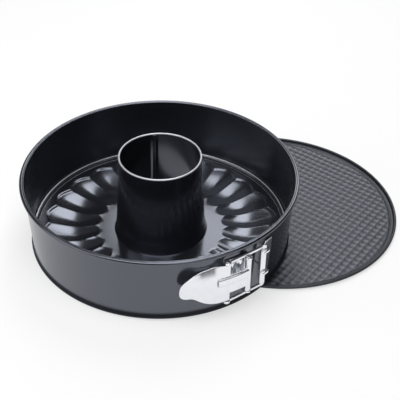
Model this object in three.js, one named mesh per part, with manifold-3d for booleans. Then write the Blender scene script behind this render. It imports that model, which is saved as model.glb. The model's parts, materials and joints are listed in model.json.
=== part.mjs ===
// Round springform cake pan: a clip-closed band, a fluted tube base inside it and a spare flat base
// that lies half under it. Millimetres, +Z up. The origin is the middle of the set's footprint.
import * as THREE from 'three';
import { mergeVertices } from 'three/addons/utils/BufferGeometryUtils.js';
import Module from 'manifold-3d';

const wasm = await Module();
wasm.setup();

// Driving dimensions of the band
const SHEET = 0.8;
const WALL_TOP_RADIUS = 130;
const WALL_FOOT_RADIUS = 126.4;
const BAND_HEIGHT = 71.7;
const RIM_BEAD = 2.2;
const FOOT_BEAD = 2.1;
const LEDGE_WIDTH = 2;
const LEDGE_HEIGHT = 11.2;
const SPLIT_AZIMUTH = THREE.MathUtils.degToRad(-49.8);
const SPLIT_GAP = 0.4;

// Driving dimensions of the tube base
const FLUTES = 24;
const FLANGE_WIDTH = 6.3;
const FLANGE_STEP = 5.1;
const FLUTE_OUTER_RADIUS = 114.7;
const FLUTE_INNER_RADIUS = 61.6;
const FLUTE_DEPTH = 4.6;
const FLUTE_RIDGE = 0.34;
const FLUTE_CREASE = 1.45;
const FLUTE_PHASE = THREE.MathUtils.degToRad(-1.8);
const FLUTE_TIP_POINT = 5.5;
const FLUTE_INNER_ROUND = 7.7;
const ANNULUS_DROP = 2.2;
const COLLAR_HEIGHT = 10;
const COLLAR_FLARE = 0.8;
const TUBE_RADIUS = 39.4;
const TUBE_FOOT_RADIUS = 44.6;
const TUBE_SHEET = 0.7;
const TUBE_HEIGHT = 91;
const TUBE_BEAD = 1.1;

// Driving dimensions of the flat base
const DISC_RADIUS = 130.9;
const DISC_FLANGE = 7.6;
const DISC_STEP = 2;
const DISC_BEAD = 1.2;
const DISC_OFFSET = 123.9;
const DISC_DIRECTION = THREE.MathUtils.degToRad(20.25);

// Driving dimensions of the clip
const CLIP_HEIGHT = 38.6;
const CLIP_SHEET = 1.2;
const LEVER_PIVOT_FROM_SPLIT = -13.3;
const CATCH_FROM_SPLIT = 5.1;
const LINK_PIVOT_FROM_LEVER_PIVOT = -22;
const LEVER_LENGTH = 68;
const LEVER_HALF_HEIGHT = 20.8;
const LEVER_NECK_HALF_HEIGHT = 18.6;
const LEVER_TOP_RISE = 19;
const LEVER_TIP_DROP = 0;
const LEVER_NARROW_DROP = 9.4;
const LEVER_TIP_LENGTH = 9;
const LEVER_SHOULDER = 20;
const NECK_RISE = 9.4;
const NECK_DROP = 11.7;
const RIB_LENGTH = 32;
const RIB_MIDDLE = 3.5;
const RIB_HALF_HEIGHT = 5.2;
const RIB_DEPTH = 3.2;
const PIN_RADIUS = 1.5;
const BARREL_WALL = 1.3;
const PIVOT_STANDOFF = 6.7;
const LINK_BAR = 2.2;
const LINK_DEPTH = 2.6;
const CATCH_BAR = 3.6;
const CATCH_PLATE_WIDTH = 21;
const CATCH_EAR_HEIGHT = 15;
const BRACKET_WIDTH = 34;
const BRACKET_HALF_HEIGHT = 21.5;
const CATCH_TRAVEL_ALONG = 2.5;
const CATCH_TRAVEL_OUT = 2.5;

// Clearances
const SEAT_GAP = 0.3;
const EDGE_GAP = 0.5;
const REST_GAP = 0.35;

// Fineness of the round surfaces
const BAND_STEPS = 48;
const FLUTE_STEPS = 4;
const TUBE_STEPS = 48;
const DISC_STEPS = 72;
const PIN_STEPS = 16;
const LEVER_STEPS = 16;
const RIB_STEPS = 8;
const PLAIN_CUT = { bevelEnabled: false, curveSegments: 8 };

const UP = new THREE.Vector3(0, 0, 1);

// Materials
const COATED = { color: 0x17181a, roughness: 0.35, metalness: 0.1 };
const PLATED = { color: 0xc8c9cb, roughness: 0.22, metalness: 1 };
const GREY_COATED = { color: 0x3b3d40, roughness: 0.5, metalness: 0.1 };

function part(name, geometry, finish) {
  const mesh = new THREE.Mesh(geometry, new THREE.MeshStandardMaterial(finish));
  mesh.name = name;
  return mesh;
}

// Joining and cutting closed meshes
function welded(geometry) {
  const bare = geometry.index ? geometry : mergeVertices(geometry);
  bare.deleteAttribute('normal');
  bare.deleteAttribute('uv');
  return mergeVertices(bare, 1e-4);
}

function solid(geometry) {
  const mesh = welded(geometry);
  return new wasm.Manifold(new wasm.Mesh({
    numProp: 3,
    vertProperties: new Float32Array(mesh.attributes.position.array),
    triVerts: new Uint32Array(mesh.index.array),
  }));
}

function surface(manifold) {
  const mesh = manifold.getMesh();
  const geometry = new THREE.BufferGeometry();
  const places = new Float32Array(mesh.vertProperties);
  geometry.setAttribute('position', new THREE.BufferAttribute(places, 3));
  geometry.setIndex(new THREE.BufferAttribute(new Uint32Array(mesh.triVerts), 1));
  return geometry;
}

// A ring of sections, each a closed list of points, joined into one skin. An open run gets end faces.
function skin(sections, looped, endFaces) {
  const count = sections[0].length;
  const positions = sections.flat().flatMap((p) => [p.x, p.y, p.z]);
  const index = [];
  const spans = looped ? sections.length : sections.length - 1;
  for (let i = 0; i < spans; i += 1) {
    const next = (i + 1) % sections.length;
    for (let j = 0; j < count; j += 1) {
      const k = (j + 1) % count;
      const a = i * count + j;
      const b = next * count + j;
      const c = next * count + k;
      const d = i * count + k;
      index.push(a, b, c, a, c, d);
    }
  }
  if (!looped) {
    const last = (sections.length - 1) * count;
    endFaces.forEach(([p, q, r]) => index.push(p, q, r, last + p, last + r, last + q));
  }
  const geometry = new THREE.BufferGeometry();
  geometry.setAttribute('position', new THREE.Float32BufferAttribute(positions, 3));
  geometry.setIndex(index);
  return geometry;
}

// Sweeps a closed anticlockwise outline of (radius, height) points about the pan's axis
function sector(outline, from, to, steps) {
  const sections = [];
  for (let i = 0; i <= steps; i += 1) {
    const angle = THREE.MathUtils.lerp(from, to, i / steps);
    sections.push(outline.map((p) => onRing(p.x, angle, p.y)));
  }
  return skin(sections, false, THREE.ShapeUtils.triangulateShape(outline, []));
}

function points(pairs) {
  return pairs.map(([x, y]) => new THREE.Vector2(x, y));
}

function onRing(radius, angle, height) {
  return new THREE.Vector3(radius * Math.cos(angle), radius * Math.sin(angle), height);
}

// Turns a closed anticlockwise outline right round the upright axis
function turned(outline, steps) {
  return welded(new THREE.LatheGeometry(outline, steps).rotateX(Math.PI / 2));
}

function arc(radius, height, bead, fromDegrees, toDegrees, steps) {
  return Array.from({ length: steps + 1 }, (_, i) => {
    const angle = THREE.MathUtils.degToRad(THREE.MathUtils.lerp(fromDegrees, toDegrees, i / steps));
    return new THREE.Vector2(radius + bead * Math.cos(angle), height + bead * Math.sin(angle));
  });
}

// Upright pin about the pan's vertical
function rod(radius, low, high, centre) {
  const cylinder = new THREE.CylinderGeometry(radius, radius, high - low, PIN_STEPS);
  cylinder.rotateX(Math.PI / 2);
  return cylinder.translate(centre.x, centre.y, (low + high) / 2);
}

// Flat plate lying level, drawn in (outward, along) from the axis at the given azimuth
function levelPlate(shape, low, high, azimuth) {
  const plate = new THREE.ExtrudeGeometry(shape, { depth: high - low, ...PLAIN_CUT });
  return plate.rotateZ(azimuth).translate(0, 0, low);
}

// Block cut through the wall's outward direction, drawn in (along, up) at the given azimuth
function outwardBlock(shape, near, far, azimuth) {
  const block = new THREE.ExtrudeGeometry(shape, { depth: far - near, ...PLAIN_CUT });
  const out = onRing(1, azimuth, 0);
  const along = new THREE.Vector3().crossVectors(UP, out);
  block.translate(0, 0, near);
  return block.applyMatrix4(new THREE.Matrix4().makeBasis(along, UP, out));
}

// Band
const rimHeight = BAND_HEIGHT - RIM_BEAD;
const rimRadius = WALL_TOP_RADIUS + RIM_BEAD;
const ledgeRadius = WALL_FOOT_RADIUS - LEDGE_WIDTH;
const footRadius = ledgeRadius + FOOT_BEAD;
const wallSlope = (WALL_TOP_RADIUS - WALL_FOOT_RADIUS) / (rimHeight - LEDGE_HEIGHT);

function wallOuterRadius(height) {
  return WALL_FOOT_RADIUS + SHEET + (height - LEDGE_HEIGHT) * wallSlope;
}

function bandOutline() {
  const tuck = RIM_BEAD / 2;
  const neckTop = LEDGE_HEIGHT - SHEET;
  return [
    ...arc(footRadius, FOOT_BEAD, FOOT_BEAD, -180, 60, 8),
    new THREE.Vector2(ledgeRadius + SHEET, 2 * FOOT_BEAD),
    new THREE.Vector2(ledgeRadius + SHEET, neckTop),
    new THREE.Vector2(wallOuterRadius(LEDGE_HEIGHT), LEDGE_HEIGHT),
    new THREE.Vector2(wallOuterRadius(rimHeight - tuck - RIM_BEAD), rimHeight - tuck - RIM_BEAD),
    ...arc(rimRadius, rimHeight, RIM_BEAD, -70, 180, 9),
    new THREE.Vector2(WALL_FOOT_RADIUS, LEDGE_HEIGHT),
    new THREE.Vector2(ledgeRadius, LEDGE_HEIGHT),
  ];
}

const backAzimuth = SPLIT_AZIMUTH + Math.PI;
const halfGap = SPLIT_GAP / 2 / WALL_FOOT_RADIUS;
const bandLeft = part('band_left',
  sector(bandOutline(), SPLIT_AZIMUTH - Math.PI + halfGap, SPLIT_AZIMUTH - halfGap, BAND_STEPS), COATED);
const bandRight = part('band_right',
  sector(bandOutline(), SPLIT_AZIMUTH + halfGap, backAzimuth - halfGap, BAND_STEPS), COATED);
const bandHinge = onRing(rimRadius + RIM_BEAD, backAzimuth, 0);

// Tube base: (top radius, top height, bottom radius, bottom height) rings from the edge inwards
const flangeRadius = WALL_FOOT_RADIUS - EDGE_GAP;
const flangeTop = LEDGE_HEIGHT + SEAT_GAP + SHEET;
const tipTop = flangeTop - FLANGE_STEP;
const annulusTop = tipTop - ANNULUS_DROP;
const collarTop = annulusTop + COLLAR_HEIGHT;
const tubeFoot = annulusTop - SHEET;
const tubeBeadHeight = TUBE_HEIGHT - TUBE_BEAD;

// The tube narrows evenly from its foot to its curled edge
function tubeRadius(height) {
  return THREE.MathUtils.mapLinear(height, tubeFoot, tubeBeadHeight, TUBE_FOOT_RADIUS, TUBE_RADIUS);
}

const collarBore = TUBE_FOOT_RADIUS + SEAT_GAP;
const collarTopBore = tubeRadius(collarTop) + SEAT_GAP;
const FLUTE_RINGS = 5;

// How far the flutes sink: one long dish, pointed at the rim end and round at the tube end, with a ridge
// between it and the next
function fluteDrop(radius, turn) {
  const across = Math.abs(2 * (turn - Math.floor(turn)) - 1);
  const outer = FLUTE_OUTER_RADIUS - FLUTE_TIP_POINT * across;
  const inner = FLUTE_INNER_RADIUS + FLUTE_INNER_ROUND * across * across;
  const share = THREE.MathUtils.clamp((outer - radius) / (outer - inner), 0, 1);
  return FLUTE_DEPTH * Math.sin(Math.PI * share) * (1 - FLUTE_RIDGE * across ** FLUTE_CREASE);
}

function baseSection(angle) {
  const turn = ((angle - FLUTE_PHASE) * FLUTES) / (2 * Math.PI);
  const top = [[flangeRadius, flangeTop], [flangeRadius - FLANGE_WIDTH, flangeTop]];
  const under = top.map(([radius, height]) => [radius, height - SHEET]);
  for (let i = 0; i <= FLUTE_RINGS + 1; i += 1) {
    const share = i / (FLUTE_RINGS + 1);
    const radius = THREE.MathUtils.lerp(FLUTE_OUTER_RADIUS, FLUTE_INNER_RADIUS, share);
    const height = THREE.MathUtils.lerp(tipTop, annulusTop, share) - fluteDrop(radius, turn);
    top.push([radius, height]);
    under.push([radius, height - SHEET]);
  }
  const flare = collarBore + SHEET + COLLAR_FLARE;
  top.push([flare, annulusTop], [collarBore + SHEET + COLLAR_FLARE / 4, annulusTop + COLLAR_HEIGHT / 4]);
  under.push([flare - SHEET / 2, annulusTop - SHEET]);
  under.push([collarBore + COLLAR_FLARE / 4, annulusTop + COLLAR_HEIGHT / 4 - SHEET]);
  top.push([collarTopBore + SHEET, collarTop]);
  under.push([collarTopBore, collarTop]);
  return [...top, ...under.reverse()].map(([radius, height]) => onRing(radius, angle, height));
}

function tubeBase() {
  const steps = FLUTES * FLUTE_STEPS;
  const sections = Array.from({ length: steps }, (_, step) =>
    baseSection(FLUTE_PHASE + (2 * Math.PI * step) / steps));
  return skin(sections, true, []);
}

// Centre tube with its curled top edge
function centreTube() {
  const middle = TUBE_RADIUS - TUBE_SHEET / 2;
  const curl = arc(middle, tubeBeadHeight, TUBE_BEAD, -70, 250, 10);
  const outside = new THREE.Vector2(TUBE_FOOT_RADIUS, tubeFoot);
  const inside = new THREE.Vector2(TUBE_FOOT_RADIUS - TUBE_SHEET, tubeFoot);
  return turned([outside, ...curl, inside, outside], TUBE_STEPS);
}

const tubeBaseGroup = new THREE.Group();
tubeBaseGroup.name = 'tube_base_lift';
tubeBaseGroup.add(part('fluted_base', tubeBase(), COATED), part('centre_tube', centreTube(), COATED));

// Flat base
const discTop = SHEET + DISC_STEP + DISC_BEAD;
function flatBase() {
  const beadRadius = DISC_RADIUS - DISC_BEAD;
  const floorRadius = DISC_RADIUS - DISC_FLANGE - DISC_STEP / 2;
  const flangeInner = DISC_RADIUS - DISC_FLANGE;
  const outline = [
    new THREE.Vector2(0, 0),
    new THREE.Vector2(floorRadius + SHEET / 3, 0),
    new THREE.Vector2(flangeInner + SHEET / 3, DISC_STEP),
    ...arc(beadRadius, discTop - DISC_BEAD, DISC_BEAD, -110, 160, 8),
    new THREE.Vector2(flangeInner, DISC_STEP + SHEET),
    new THREE.Vector2(floorRadius, SHEET),
    new THREE.Vector2(0, SHEET),
  ];
  return turned(outline, DISC_STEPS);
}

// Clip: azimuths of its three pivots, and their place on one standing circle outside the wall
const pivotRadius = wallOuterRadius(CLIP_HEIGHT) + PIVOT_STANDOFF;
const leverAzimuth = SPLIT_AZIMUTH + LEVER_PIVOT_FROM_SPLIT / pivotRadius;
const linkAzimuth = leverAzimuth + LINK_PIVOT_FROM_LEVER_PIVOT / pivotRadius;
const catchAzimuth = SPLIT_AZIMUTH + CATCH_FROM_SPLIT / pivotRadius;
const barrelRadius = PIN_RADIUS + SEAT_GAP + BARREL_WALL;
const leverPivot = onRing(pivotRadius, leverAzimuth, 0);
const linkPivot = onRing(pivotRadius, linkAzimuth, 0);
const catchPoint = onRing(pivotRadius, catchAzimuth, 0);
const leverInner = pivotRadius + barrelRadius - 2 * CLIP_SHEET;

function clipLevel(offset) {
  return CLIP_HEIGHT + offset;
}

// Curved strip that follows the tapered wall, standing off it by the seat gap
function wallStrip(from, to, halfHeight) {
  const low = clipLevel(-halfHeight);
  const high = clipLevel(halfHeight);
  const outline = [
    new THREE.Vector2(wallOuterRadius(low) + SEAT_GAP, low),
    new THREE.Vector2(wallOuterRadius(low) + SEAT_GAP + CLIP_SHEET, low),
    new THREE.Vector2(wallOuterRadius(high) + SEAT_GAP + CLIP_SHEET, high),
    new THREE.Vector2(wallOuterRadius(high) + SEAT_GAP, high),
  ];
  return solid(sector(outline, from, to, LEVER_STEPS));
}

// Lever bracket: a strip on the wall with a lug above and below the lever's barrel
const lugLow = LEVER_NECK_HALF_HEIGHT + SEAT_GAP;
const lugHigh = lugLow + CLIP_SHEET;

function lug(low, high) {
  const root = wallOuterRadius(clipLevel(low)) + SEAT_GAP + CLIP_SHEET / 2;
  const shape = new THREE.Shape();
  shape.moveTo(root, -barrelRadius);
  shape.lineTo(pivotRadius, -barrelRadius);
  shape.absarc(pivotRadius, 0, barrelRadius, -Math.PI / 2, Math.PI / 2, false);
  shape.lineTo(root, barrelRadius);
  const eye = solid(rod(PIN_RADIUS + SEAT_GAP, clipLevel(low) - 1, clipLevel(high) + 1, leverPivot));
  return solid(levelPlate(shape, clipLevel(low), clipLevel(high), leverAzimuth)).subtract(eye);
}

function leverBracket() {
  const to = SPLIT_AZIMUTH - halfGap - CLIP_SHEET / pivotRadius;
  const strip = wallStrip(to - BRACKET_WIDTH / pivotRadius, to, BRACKET_HALF_HEIGHT);
  return surface(strip.add(lug(lugLow, lugHigh)).add(lug(-lugHigh, -lugLow)));
}

function headedPin(halfLength, centre) {
  const headLength = CLIP_SHEET / 2;
  const whole = halfLength + headLength;
  const shank = solid(rod(PIN_RADIUS, clipLevel(-whole), clipLevel(whole), centre));
  const headRadius = PIN_RADIUS + 2 * SEAT_GAP;
  const top = solid(rod(headRadius, clipLevel(halfLength), clipLevel(whole), centre));
  const bottom = solid(rod(headRadius, clipLevel(-whole), clipLevel(-halfLength), centre));
  return surface(shank.add(top).add(bottom));
}

// Lever: a curved spoon on a neck with a raised half-round rib, and a barrel at each of its two pivots.
// Its upper edge bows out to the tip, and its lower edge sweeps in to the spoon's narrow end.
function leverOutline(middle) {
  const along = (distance) => leverInner * Math.sin(leverAzimuth + distance / leverInner - middle);
  const up = (height) => CLIP_HEIGHT + height;
  const full = LEVER_HALF_HEIGHT;
  const shoulder = along(-LEVER_SHOULDER);
  const belly = along(LINK_PIVOT_FROM_LEVER_PIVOT - barrelRadius);
  const tip = along(-LEVER_LENGTH);
  const nearTip = along(-LEVER_LENGTH + LEVER_TIP_LENGTH);
  const waist = along(-LEVER_LENGTH + 2 * LEVER_TIP_LENGTH);
  const shape = new THREE.Shape();
  shape.moveTo(along(0), up(-NECK_DROP));
  shape.lineTo(along(0), up(NECK_RISE));
  shape.lineTo(shoulder, up(NECK_RISE));
  shape.lineTo(shoulder, up(full));
  shape.lineTo(belly, up(full));
  shape.bezierCurveTo(waist, up(LEVER_TOP_RISE), tip, up(LEVER_TOP_RISE), tip, up(-LEVER_TIP_DROP));
  shape.quadraticCurveTo(tip, up(-LEVER_NARROW_DROP), nearTip, up(-LEVER_NARROW_DROP));
  shape.bezierCurveTo(waist, up(-LEVER_NARROW_DROP), waist, up(-full), belly, up(-full));
  shape.lineTo(shoulder, up(-full));
  shape.lineTo(shoulder, up(-NECK_DROP));
  return shape;
}

function leverRib() {
  const root = leverInner + CLIP_SHEET / 2;
  const outline = Array.from({ length: RIB_STEPS + 1 }, (_, step) => {
    const turn = Math.PI * (step / RIB_STEPS - 0.5);
    const height = clipLevel(RIB_MIDDLE + RIB_HALF_HEIGHT * Math.sin(turn));
    return new THREE.Vector2(root + RIB_DEPTH * Math.cos(turn), height);
  });
  return solid(sector(outline, leverAzimuth - RIB_LENGTH / leverInner, leverAzimuth, LEVER_STEPS));
}

function latchLever() {
  const middle = leverAzimuth - LEVER_LENGTH / 2 / leverInner;
  const low = clipLevel(-LEVER_HALF_HEIGHT - 1);
  const high = clipLevel(LEVER_HALF_HEIGHT + 1);
  const outer = leverInner + CLIP_SHEET;
  const strip = points([[leverInner, low], [outer, low], [outer, high], [leverInner, high]]);
  const from = leverAzimuth - (LEVER_LENGTH + CLIP_SHEET) / leverInner;
  const sheet = solid(sector(strip, from, leverAzimuth + CLIP_SHEET / leverInner, LEVER_STEPS));
  const cutter = solid(outwardBlock(leverOutline(middle), leverInner / 2, leverInner * 2, middle));
  const barrels = [[leverPivot, LEVER_NECK_HALF_HEIGHT], [linkPivot, LEVER_HALF_HEIGHT]];
  const spoon = barrels.reduce((body, [centre, half]) =>
    body.add(solid(rod(barrelRadius, clipLevel(-half), clipLevel(half), centre))),
  sheet.intersect(cutter).add(leverRib()));
  return surface(barrels.reduce((body, [centre]) =>
    body.subtract(solid(rod(PIN_RADIUS + SEAT_GAP, low, high, centre))), spoon));
}

// Link: a frame whose two eyes turn on the link pin and whose far bar lies in the catch's ears
const linkLow = LEVER_HALF_HEIGHT + EDGE_GAP;
const linkHigh = linkLow + LINK_BAR;

function linkArm(low, high) {
  const run = new THREE.Vector3().subVectors(catchPoint, linkPivot);
  const bearing = Math.atan2(run.y, run.x);
  const halfway = new THREE.Vector3().addVectors(linkPivot, catchPoint).multiplyScalar(0.5);
  const bar = new THREE.BoxGeometry(run.length(), LINK_DEPTH, high - low);
  bar.rotateZ(bearing).translate(halfway.x, halfway.y, clipLevel((low + high) / 2));
  const eye = solid(rod(barrelRadius, clipLevel(low), clipLevel(high), linkPivot));
  const hole = solid(rod(PIN_RADIUS + SEAT_GAP, clipLevel(low) - 1, clipLevel(high) + 1, linkPivot));
  return solid(bar).add(eye).subtract(hole);
}

function linkFrame() {
  const upright = new THREE.BoxGeometry(LINK_DEPTH, CATCH_BAR, 2 * linkHigh);
  upright.rotateZ(catchAzimuth).translate(catchPoint.x, catchPoint.y, CLIP_HEIGHT);
  return surface(linkArm(linkLow, linkHigh).add(linkArm(-linkHigh, -linkLow)).add(solid(upright)));
}

// Catch: a strip on the other end of the band with two slotted ears round the link's far bar
function catchEar(middle) {
  const slotAlong = CATCH_BAR / 2 + CATCH_TRAVEL_ALONG;
  const slotOut = LINK_DEPTH / 2 + CATCH_TRAVEL_OUT;
  const root = wallOuterRadius(clipLevel(middle)) + SEAT_GAP + CLIP_SHEET / 2;
  const edge = slotAlong + CLIP_SHEET;
  const tip = pivotRadius + slotOut + CLIP_SHEET;
  const shape = new THREE.Shape(points([[root, -edge], [tip, -edge], [tip, edge], [root, edge]]));
  const near = pivotRadius - slotOut;
  const far = pivotRadius + slotOut;
  const slot = points([[near, -slotAlong], [near, slotAlong], [far, slotAlong], [far, -slotAlong]]);
  shape.holes.push(new THREE.Path(slot));
  const half = CLIP_SHEET / 2;
  return solid(levelPlate(shape, clipLevel(middle - half), clipLevel(middle + half), catchAzimuth));
}

function catchBracket() {
  const from = SPLIT_AZIMUTH + halfGap + CLIP_SHEET / pivotRadius;
  const strip = wallStrip(from, from + CATCH_PLATE_WIDTH / pivotRadius, BRACKET_HALF_HEIGHT);
  return surface(strip.add(catchEar(CATCH_EAR_HEIGHT)).add(catchEar(-CATCH_EAR_HEIGHT)));
}

// A pivot group stands at its joint, and its pieces keep their place in the pan
function pivotGroup(name, pivot, meshes) {
  const group = new THREE.Group();
  group.name = name;
  group.position.copy(pivot);
  meshes.forEach((mesh) => {
    mesh.position.sub(pivot);
    group.add(mesh);
  });
  return group;
}

const linkSwing = pivotGroup('link_swing', linkPivot, [part('link_frame', linkFrame(), PLATED)]);
const leverSwing = pivotGroup('lever_swing', leverPivot, [
  part('latch_lever', latchLever(), PLATED),
  part('link_pin', headedPin(linkHigh + SEAT_GAP, linkPivot), PLATED),
  linkSwing,
]);
const catchPiece = part('catch_bracket', catchBracket(), PLATED);
const ringOpen = pivotGroup('ring_open', bandHinge, [bandRight, catchPiece]);

const pan = new THREE.Group();
pan.name = 'pan';
pan.add(bandLeft, part('lever_bracket', leverBracket(), PLATED));
pan.add(part('lever_pin', headedPin(lugHigh + SEAT_GAP, leverPivot), PLATED));
pan.add(ringOpen, leverSwing, tubeBaseGroup);

// The pan leans: one edge on the table, the other where its foot crosses the flat base's rim
const rimCircle = DISC_RADIUS - DISC_BEAD;
const crossing = (footRadius ** 2 - rimCircle ** 2 + DISC_OFFSET ** 2) / (2 * DISC_OFFSET);
const lean = Math.atan((discTop + REST_GAP) / (crossing + footRadius));
const toDisc = onRing(1, DISC_DIRECTION, 0);
pan.setRotationFromAxisAngle(new THREE.Vector3().crossVectors(toDisc, UP), lean);
pan.updateMatrixWorld(true);
pan.position.z = -new THREE.Box3().setFromObject(pan, true).min.z;

const flatBasePull = new THREE.Group();
flatBasePull.name = 'flat_base_pull';
flatBasePull.position.copy(onRing(DISC_OFFSET, DISC_DIRECTION, 0));
flatBasePull.add(part('flat_base', flatBase(), GREY_COATED));

const set = new THREE.Group();
set.add(pan, flatBasePull);
set.updateMatrixWorld(true);
const middle = new THREE.Box3().setFromObject(set, true).getCenter(new THREE.Vector3());
set.position.set(-middle.x, -middle.y, 0);

export default set;
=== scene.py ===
# %% [markdown]
# A round springform cake pan. A steel band with a rolled rim closes with an over-centre clip and grips a
# fluted base with a tall centre tube. A second, flat base with a waffled floor lies half under the pan.
# The imported CAD model gives the places and the motions, and this lesson dresses it piece by piece: every
# new piece is a numpy surface that takes the place of its CAD node, and all but the band ride on that node's
# body.

# %% Load the frame
import json

import bmesh
import bpy
import numpy as np
from mathutils import Matrix, Vector


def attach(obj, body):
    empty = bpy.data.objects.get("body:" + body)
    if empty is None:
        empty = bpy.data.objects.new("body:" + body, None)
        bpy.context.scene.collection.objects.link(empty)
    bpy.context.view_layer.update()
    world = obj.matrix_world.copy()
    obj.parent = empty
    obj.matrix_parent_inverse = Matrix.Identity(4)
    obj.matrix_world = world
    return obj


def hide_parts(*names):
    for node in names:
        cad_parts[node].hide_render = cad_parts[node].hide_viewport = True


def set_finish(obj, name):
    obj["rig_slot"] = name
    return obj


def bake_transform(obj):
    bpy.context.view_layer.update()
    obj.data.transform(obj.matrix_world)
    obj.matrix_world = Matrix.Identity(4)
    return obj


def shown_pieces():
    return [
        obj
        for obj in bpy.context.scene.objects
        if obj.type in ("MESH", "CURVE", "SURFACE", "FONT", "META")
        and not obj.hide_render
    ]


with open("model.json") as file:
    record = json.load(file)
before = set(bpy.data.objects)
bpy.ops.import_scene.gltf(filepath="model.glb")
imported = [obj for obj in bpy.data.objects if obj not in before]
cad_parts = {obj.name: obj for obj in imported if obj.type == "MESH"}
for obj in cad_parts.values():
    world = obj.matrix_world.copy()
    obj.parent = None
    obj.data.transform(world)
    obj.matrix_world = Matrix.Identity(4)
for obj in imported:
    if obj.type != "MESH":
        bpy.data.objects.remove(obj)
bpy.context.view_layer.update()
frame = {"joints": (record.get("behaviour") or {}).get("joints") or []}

# %% [markdown]
# The real pan stands on the edge of the flat base, so it leans by a little more than one degree. All of
# the pan is turned from profiles, so it is drawn in the pan's own frame: a radius and an angle about the
# pan's axis and a height above its foot, in millimetres. The axis is the one along which the tube base
# lifts, and one rotation carries that frame into the row frame.

# %% The pan's own frame
MM = 0.001
PAN_FOOT = np.array([-55.6488, -18.3834, 2.9707])
UPRIGHT = np.array([0.0, 0.0, 1.0])


def turn_onto(axis):
    """Rotation that carries the upright direction onto axis by the shortest way: identity plus the cross
    matrix of their cross product plus its square over one plus their dot product."""
    x, y, z = np.cross(UPRIGHT, axis)
    cross = np.array([[0, -z, y], [z, 0, -x], [-y, x, 0]])
    return np.eye(3) + cross + cross @ cross / (1 + axis @ UPRIGHT)


joints = {joint["name"]: joint for joint in frame["joints"]}
pan_axis = np.array(joints["tube_base_lift"]["axis"])
pan_turn = turn_onto(pan_axis / np.linalg.norm(pan_axis))


def on_pan(radius, angle, height):
    """Row-frame metres of pan places: radius times cosine and sine of the angle, then the height, leaned."""
    radius, angle, height = np.broadcast_arrays(radius, angle, height)
    local = np.stack([radius * np.cos(angle), radius * np.sin(angle), height], axis=-1)
    return (PAN_FOOT + local @ pan_turn.T) * MM


def from_row(points):
    """The way back: the pan's own x, y and height, in millimetres, of row-frame metres."""
    return (points / MM - PAN_FOOT) @ pan_turn


print("the pan leans by", round(float(np.degrees(np.arccos(pan_axis @ UPRIGHT))), 2), "degrees")

# %% [markdown]
# A pressed sheet is a skin over a grid of points. One helper makes the skin for every turned or swept
# piece: it joins neighbouring rows and columns with four-sided faces, closes a looped direction on itself,
# puts a lid on open ends, welds poles to one point and turns the faces outwards. Modifiers could turn or
# sweep a profile too, but on a grid each point's place is known, so that the wear can be put on it later.

# %% A skin over a grid
SHARP_EDGE = np.radians(38)
WELD_DISTANCE = 1e-7


def skin(name, grid, loop_rows=False, lids=False):
    """Mesh object over a grid of rows of points whose columns close on themselves: faces between row i and
    row i + 1, the last row joined to the first with loop_rows, or end rows filled with lids."""
    rows, columns = grid.shape[:2]
    index = np.arange(rows * columns).reshape(rows, columns)
    ends = [index[0][::-1].tolist(), index[-1].tolist()] if lids else []
    if loop_rows:
        index = np.vstack([index, index[:1]])
    index = np.hstack([index, index[:, :1]])
    corners = [index[:-1, :-1], index[:-1, 1:], index[1:, 1:], index[1:, :-1]]
    faces = np.stack(corners, axis=-1).reshape(-1, 4).tolist()
    mesh = bpy.data.meshes.new(name)
    mesh.from_pydata(grid.reshape(-1, 3).tolist(), [], faces + ends)
    return finished(name, mesh)


def finished(name, mesh):
    """Object with that mesh: doubled points welded, faces turned outwards, smooth but for sharp edges."""
    work = bmesh.new()
    work.from_mesh(mesh)
    bmesh.ops.remove_doubles(work, verts=work.verts, dist=WELD_DISTANCE)
    if work.calc_volume(signed=True) < 0:
        bmesh.ops.reverse_faces(work, faces=work.faces)
    work.to_mesh(mesh)
    work.free()
    mesh.polygons.foreach_set("use_smooth", np.ones(len(mesh.polygons), bool))
    mesh.set_sharp_from_angle(angle=SHARP_EDGE)
    return placed(name, mesh)


def placed(name, mesh):
    """Object with that mesh, put into the scene."""
    piece = bpy.data.objects.new(name, mesh)
    bpy.context.scene.collection.objects.link(piece)
    print(name, len(mesh.vertices), "points", len(mesh.polygons), "faces")
    return piece


# %% [markdown]
# Sheet that has been pressed or rolled has no sharp corners: each bend catches a thin line of light. A
# profile is therefore drawn as a few corners with a size for the bend at each one, and its rolled edges as
# arcs. That keeps the numbers few, and every bend can be set by itself.

# %% Profiles with bends
def rounded(corners, steps=5):
    """Polyline through corners (x, y, size): each corner becomes a parabola that leaves its two sides at
    the given size from the corner, and a size of 0 keeps the corner."""
    corners = np.array(corners, float)
    places = corners[:, :2]
    sizes = corners[:, 2]
    share = np.linspace(0, 1, steps)[:, None]
    line = [places[:1]]
    for before, here, after, size in zip(places[:-2], places[1:-1], places[2:], sizes[1:-1]):
        start = here + size * (before - here) / np.linalg.norm(before - here)
        end = here + size * (after - here) / np.linalg.norm(after - here)
        bend = (1 - share) ** 2 * start + 2 * share * (1 - share) * here + share ** 2 * end
        line.append(bend if size else here[None])
    return np.concatenate(line + [places[-1:]])


def bead(radius, height, size, start, end, steps=30):
    """Round edge in a profile: a circle of that size about (radius, height), from start to end degrees."""
    turn = np.radians(np.linspace(start, end, steps))
    return np.stack([radius + size * np.cos(turn), height + size * np.sin(turn)], axis=-1)


# %% [markdown]
# Coating wears where a pan is touched and rubbed, and some places get painted shade or painted highlights.
# Such places follow from the radius and the height, so each point of a piece carries a number that says how
# worn it is there or how much light or shade is painted on it. Painting the wear by hand would do too, but a
# number that is worked out for each point follows the shape exactly.

# %% Marks for the finishes
def smooth_step(value, low, high):
    """0 below low, 1 above high, and three times the square less twice the cube of the share between."""
    share = np.clip((value - low) / (high - low), 0, 1)
    return share * share * (3 - 2 * share)


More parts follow.
